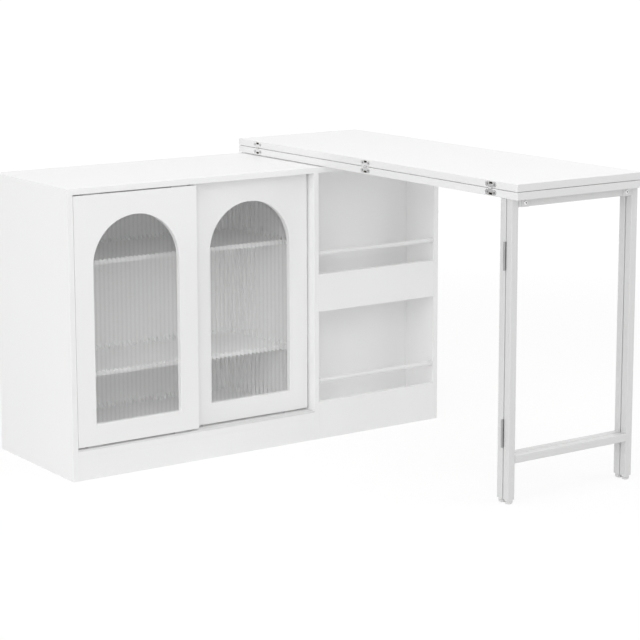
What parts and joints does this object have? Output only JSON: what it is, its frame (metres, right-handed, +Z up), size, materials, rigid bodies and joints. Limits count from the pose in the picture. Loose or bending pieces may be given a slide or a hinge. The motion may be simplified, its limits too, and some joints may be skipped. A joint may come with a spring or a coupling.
{
  "type": "kitchen table with storage cabinet",
  "caption": "Storage cabinet with sliding arched fluted-glass doors and an open rail bay, carrying a fold-out table that swivels on its top and stands on folding leg frames.",
  "frame": {"origin": "middle of the whole footprint at floor level, with the table folded and turned to the front", "axes": "+X along the cabinet's front to the right, +Y to the cabinet's back, +Z up; the table points to -Y"},
  "size_m": [1.155, 1.2, 0.7745],
  "materials": {
    "case_board": "white melamine-faced board, satin",
    "door_board": "white lacquered fibreboard, satin",
    "leaf_board": "white laminated board, satin",
    "shelf_board": "white melamine-faced board, satin",
    "back_board": "thin white-faced hardboard, matte",
    "beech_dowel": "bare beech",
    "fluted_glass": "clear fluted glass",
    "white_plastic": "white moulded plastic",
    "natural_nylon": "natural nylon",
    "foot_plastic": "light grey moulded plastic",
    "rail_metal": "white powder coat",
    "frame_metal": "white powder coat, fine texture",
    "hinge_steel": "zinc-plated steel",
    "leg_hinge_steel": "zinc-plated steel",
    "screw_steel": "zinc-plated steel",
    "bolt_steel": "zinc-plated steel",
    "swivel_steel": "zinc-plated steel plate"
  },
  "bodies": {
    "cabinet": {"cabinet_side_left": "case_board", "cabinet_partition": "case_board", "cabinet_side_right": "case_board", "cabinet_top": "case_board", "cabinet_bottom": "case_board", "plinth_board": "case_board", "bay_base_board": "case_board", "bay_apron": "case_board", "bay_floor": "case_board", "bay_shelf": "case_board", "bay_rear_wall": "case_board", "cabinet_back_panel": "back_board", "cabinet_dowels": "beech_dowel", "storage_shelf_lower": "shelf_board", "storage_shelf_upper": "shelf_board", "shelf_pins": "screw_steel", "bay_rail_lower": "rail_metal", "bay_rail_upper": "rail_metal", "bay_rail_cups": "white_plastic", "door_track_bottom": "white_plastic", "door_channels_top": "white_plastic", "swivel_bushing": "natural_nylon", "swivel_slip_ring": "natural_nylon", "swivel_stop_pin": "swivel_steel"},
    "left_door": {"door_left_panel": "door_board", "door_left_glass": "fluted_glass", "door_left_glides": "natural_nylon", "door_left_glass_clips": "screw_steel"},
    "right_door": {"door_right_panel": "door_board", "door_right_glass": "fluted_glass", "door_right_glides": "natural_nylon", "door_right_glass_clips": "screw_steel"},
    "table": {"table_leaf_lower": "leaf_board", "swivel_flange": "swivel_steel", "swivel_nut": "swivel_steel", "flip_hinge_plates_lower": "hinge_steel", "flip_hinge_pins": "hinge_steel", "flip_hinge_screws_lower": "screw_steel", "leaf_underside_screws": "screw_steel", "fixed_frame_leg_left": "frame_metal", "fixed_frame_leg_right": "frame_metal", "fixed_frame_top_rail": "frame_metal", "fixed_frame_stretcher": "frame_metal", "fixed_frame_feet": "foot_plastic", "leg_bracket_left": "frame_metal", "leg_bracket_right": "frame_metal", "leg_bracket_bolts": "bolt_steel", "leg_hinge_leaves_fixed": "leg_hinge_steel", "leg_hinge_pins": "leg_hinge_steel"},
    "upper_leaf": {"table_leaf_upper": "leaf_board", "flip_hinge_plates_upper": "hinge_steel", "flip_hinge_screws_upper": "screw_steel"},
    "swing_frame": {"swing_frame_leg_left": "frame_metal", "swing_frame_leg_right": "frame_metal", "swing_frame_top_rail": "frame_metal", "swing_frame_stretcher": "frame_metal", "swing_frame_feet": "foot_plastic", "leg_hinge_leaves_swing": "leg_hinge_steel"}
  },
  "joints": [
    {"name": "left_door_slide", "type": "slide", "parent": "cabinet", "child": "left_door", "axis": [1, 0, 0], "range_m": [0, 0.359]},
    {"name": "right_door_slide", "type": "slide", "parent": "cabinet", "child": "right_door", "axis": [-1, 0, 0], "range_m": [0, 0.35]},
    {"name": "table_swivel", "type": "hinge", "parent": "cabinet", "child": "table", "pos_m": [0.3765, 0.399, 0.735], "axis": [0, 0, 1], "range_deg": [0, 90]},
    {"name": "leaf_flip", "type": "hinge", "parent": "table", "child": "upper_leaf", "pos_m": [0.17475, 0, 0.75575], "axis": [0, -1, 0], "range_deg": [0, 180]},
    {"name": "frame_swing", "type": "hinge", "parent": "table", "child": "swing_frame", "pos_m": [0.1738, -0.5585, 0], "axis": [0, 0, 1], "range_deg": [0, 180]}
  ]
}
